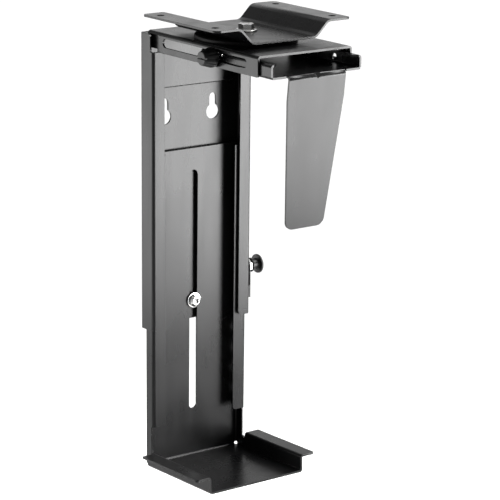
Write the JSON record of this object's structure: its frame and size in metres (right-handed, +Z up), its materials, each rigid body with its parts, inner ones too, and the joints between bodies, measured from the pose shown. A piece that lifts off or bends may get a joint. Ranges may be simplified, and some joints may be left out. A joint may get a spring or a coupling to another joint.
{
  "type": "under-desk computer holder",
  "caption": "Holder that hangs a tower computer under a desk: swivel bracket, top channel with a sliding side flap, and a telescoping wall that ends in a tray.",
  "frame": {"origin": "on the swivel axis, in the plane of the desk's underside that the bracket's flanges lie against", "axes": "+Z up into the desk; +X from the side wall towards the hanging flap, across the computer's width; +Y along the computer's depth"},
  "size_m": [0.2039, 0.1537, 0.4535],
  "materials": {
    "mounting_bracket": "semi-gloss powder coat",
    "pivot_bolt": "bright zinc plate",
    "pivot_washer": "bright zinc plate",
    "under_washer": "bright zinc plate",
    "pivot_nut": "bright zinc plate",
    "swivel_disc": "satin black",
    "top_channel": "semi-gloss powder coat",
    "upper_wall": "semi-gloss powder coat",
    "guide_bolt": "bright zinc plate",
    "guide_washer": "bright zinc plate",
    "guide_nut": "bright zinc plate",
    "latch_spacer": "semi-gloss powder coat",
    "latch_spring": "semi-gloss powder coat",
    "latch_rivet": "bright zinc plate",
    "latch_pin": "bright zinc plate",
    "latch_nut": "bright zinc plate",
    "latch_knob": "satin black",
    "slider_arm": "semi-gloss powder coat",
    "slider_nut": "bright zinc plate",
    "width_washer": "semi-gloss powder coat",
    "width_stud": "bright zinc plate",
    "width_knob": "satin black",
    "lower_wall": "semi-gloss powder coat"
  },
  "bodies": {
    "bracket": {"mounting_bracket": "mounting_bracket", "pivot_bolt": "pivot_bolt", "pivot_washer": "pivot_washer", "under_washer": "under_washer", "pivot_nut": "pivot_nut"},
    "carrier": {"top_channel": "top_channel", "swivel_disc": "swivel_disc", "upper_wall": "upper_wall", "guide_bolt": "guide_bolt", "guide_washer": "guide_washer", "guide_nut": "guide_nut", "latch_spacer": "latch_spacer", "latch_spring": "latch_spring", "latch_rivet": "latch_rivet"},
    "slider": {"slider_arm": "slider_arm", "slider_nut": "slider_nut"},
    "knob": {"width_knob": "width_knob", "width_stud": "width_stud", "width_washer": "width_washer"},
    "lower": {"lower_wall": "lower_wall"},
    "latch": {"latch_pin": "latch_pin", "latch_nut": "latch_nut", "latch_knob": "latch_knob"}
  },
  "joints": [
    {"name": "swivel", "type": "hinge", "parent": "bracket", "child": "carrier", "pos_m": [0, 0, 0], "axis": [0, 0, 1], "continuous": true},
    {"name": "width_slide", "type": "slide", "parent": "carrier", "child": "slider", "axis": [1, 0, 0], "range_m": [-0.079, 0.045]},
    {"name": "width_knob_turn", "type": "hinge", "parent": "slider", "child": "knob", "pos_m": [0.024, -0.053, -0.03], "axis": [0, -1, 0], "range_deg": [0, 360]},
    {"name": "height_slide", "type": "slide", "parent": "carrier", "child": "lower", "axis": [0, 0, 1], "range_m": [-0.126, 0.094]},
    {"name": "latch_pull", "type": "slide", "parent": "carrier", "child": "latch", "axis": [0, 1, 0], "range_m": [0, 0.005], "stiffness_N_per_m": 1500, "springref_m": -0.002}
  ]
}
